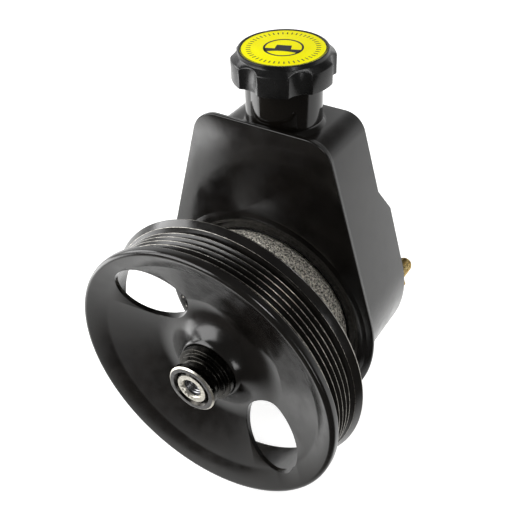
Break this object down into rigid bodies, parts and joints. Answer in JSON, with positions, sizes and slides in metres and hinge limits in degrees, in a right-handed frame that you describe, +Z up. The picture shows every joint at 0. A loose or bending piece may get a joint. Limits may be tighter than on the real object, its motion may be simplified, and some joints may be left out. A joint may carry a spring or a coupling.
{
  "type": "power steering pump",
  "caption": "Belt-driven vane pump with a sheet-steel reservoir behind its cast housing, a grooved pulley on a hub, and a filler neck with a lobed twist-lock cap and dipstick.",
  "frame": {"origin": "on the shaft's axis, in the plane of the housing's two front mounting faces", "axes": "-Y along the shaft towards the pulley, +Z up through the filler neck, +X to the right seen from the pulley side"},
  "size_m": [0.1568, 0.1516, 0.2251],
  "materials": {
    "cast_black": "rough casting under black paint",
    "paint_black": "glossy black paint on sheet steel",
    "plastic_black": "satin moulded plastic",
    "label_yellow": "printed yellow label",
    "steel_bright": "ground steel",
    "steel_dark": "oiled dark turned steel",
    "steel_spring": "hardened spring steel",
    "zinc_yellow": "yellow zinc plating on steel",
    "bronze": "sintered bronze",
    "rubber": "matt rubber",
    "magnet_grey": "dull sintered magnet"
  },
  "bodies": {
    "pump_body": {"pump_housing": "cast_black", "shaft_bushing": "bronze", "shaft_seal": "rubber", "thrust_plate": "steel_dark", "cam_ring": "steel_bright", "pressure_plate": "steel_dark", "pressure_plate_seal": "rubber", "pressure_plate_spring": "steel_spring", "end_plate": "steel_dark", "end_plate_seal": "rubber", "end_plate_snap_ring": "steel_spring", "dowel_pin_lower": "steel_bright", "dowel_pin_upper": "steel_bright", "flow_valve_spring": "steel_spring", "outlet_union": "zinc_yellow", "outlet_seal": "rubber", "mounting_stud_left": "zinc_yellow", "mounting_stud_right": "zinc_yellow", "stud_seal_left": "rubber", "stud_seal_right": "rubber", "magnet": "magnet_grey", "reservoir_front_plate": "paint_black", "reservoir_seal": "rubber", "reservoir_can": "paint_black", "filler_neck": "paint_black", "return_tube": "paint_black"},
    "shaft_and_pulley": {"pulley": "paint_black", "pulley_hub": "steel_dark", "drive_shaft": "steel_bright", "rotor": "steel_bright", "rotor_retaining_ring": "steel_spring"},
    "vane_1": {"vane_01": "steel_spring"},
    "vane_2": {"vane_02": "steel_spring"},
    "vane_3": {"vane_03": "steel_spring"},
    "vane_4": {"vane_04": "steel_spring"},
    "vane_5": {"vane_05": "steel_spring"},
    "vane_6": {"vane_06": "steel_spring"},
    "vane_7": {"vane_07": "steel_spring"},
    "vane_8": {"vane_08": "steel_spring"},
    "vane_9": {"vane_09": "steel_spring"},
    "vane_10": {"vane_10": "steel_spring"},
    "flow_valve": {"flow_valve_spool": "steel_bright", "relief_plug": "steel_dark", "relief_spring": "steel_spring"},
    "relief_valve": {"relief_ball": "steel_bright", "relief_ball_guide": "steel_dark"},
    "cap_seal": {"cap_gasket": "rubber"},
    "filler_cap": {"cap": "plastic_black", "cap_label": "label_yellow", "dipstick": "plastic_black"}
  },
  "joints": [
    {"name": "pulley_spin", "type": "hinge", "parent": "pump_body", "child": "shaft_and_pulley", "pos_m": [0, 0, 0], "axis": [0, 1, 0], "continuous": true},
    {"name": "vane_1_slide", "type": "slide", "parent": "shaft_and_pulley", "child": "vane_1", "axis": [1, 0, 0], "range_m": [0, 0.0031]},
    {"name": "vane_2_slide", "type": "slide", "parent": "shaft_and_pulley", "child": "vane_2", "axis": [0.809, 0, 0.5878], "range_m": [0, 0.0023]},
    {"name": "vane_3_slide", "type": "slide", "parent": "shaft_and_pulley", "child": "vane_3", "axis": [0.309, 0, 0.9511], "range_m": [0, 0.0009]},
    {"name": "vane_4_slide", "type": "slide", "parent": "shaft_and_pulley", "child": "vane_4", "axis": [-0.309, 0, 0.9511], "range_m": [0, 0.0009]},
    {"name": "vane_5_slide", "type": "slide", "parent": "shaft_and_pulley", "child": "vane_5", "axis": [-0.809, 0, 0.5878], "range_m": [0, 0.0023]},
    {"name": "vane_6_slide", "type": "slide", "parent": "shaft_and_pulley", "child": "vane_6", "axis": [-1, 0, 0], "range_m": [0, 0.0031]},
    {"name": "vane_7_slide", "type": "slide", "parent": "shaft_and_pulley", "child": "vane_7", "axis": [-0.809, 0, -0.5878], "range_m": [0, 0.0023]},
    {"name": "vane_8_slide", "type": "slide", "parent": "shaft_and_pulley", "child": "vane_8", "axis": [-0.309, 0, -0.9511], "range_m": [0, 0.0009]},
    {"name": "vane_9_slide", "type": "slide", "parent": "shaft_and_pulley", "child": "vane_9", "axis": [0.309, 0, -0.9511], "range_m": [0, 0.0009]},
    {"name": "vane_10_slide", "type": "slide", "parent": "shaft_and_pulley", "child": "vane_10", "axis": [0.809, 0, -0.5878], "range_m": [0, 0.0023]},
    {"name": "flow_valve_slide", "type": "slide", "parent": "pump_body", "child": "flow_valve", "axis": [0, -1, 0], "range_m": [0, 0.006], "stiffness_N_per_m": 1200, "springref_m": -0.008, "deforming": ["flow_valve_spring"]},
    {"name": "relief_ball_lift", "type": "slide", "parent": "flow_valve", "child": "relief_valve", "axis": [0, -1, 0], "range_m": [0, 0.0008], "stiffness_N_per_m": 3000, "springref_m": -0.001, "deforming": ["relief_spring"]},
    {"name": "cap_lift", "type": "slide", "parent": "pump_body", "child": "cap_seal", "axis": [0, 0, 1], "range_m": [0, 0.08]},
    {"name": "cap_turn", "type": "hinge", "parent": "cap_seal", "child": "filler_cap", "pos_m": [0, 0.0413, 0.138], "axis": [0, 0, 1], "range_deg": [-90, 0]}
  ]
}
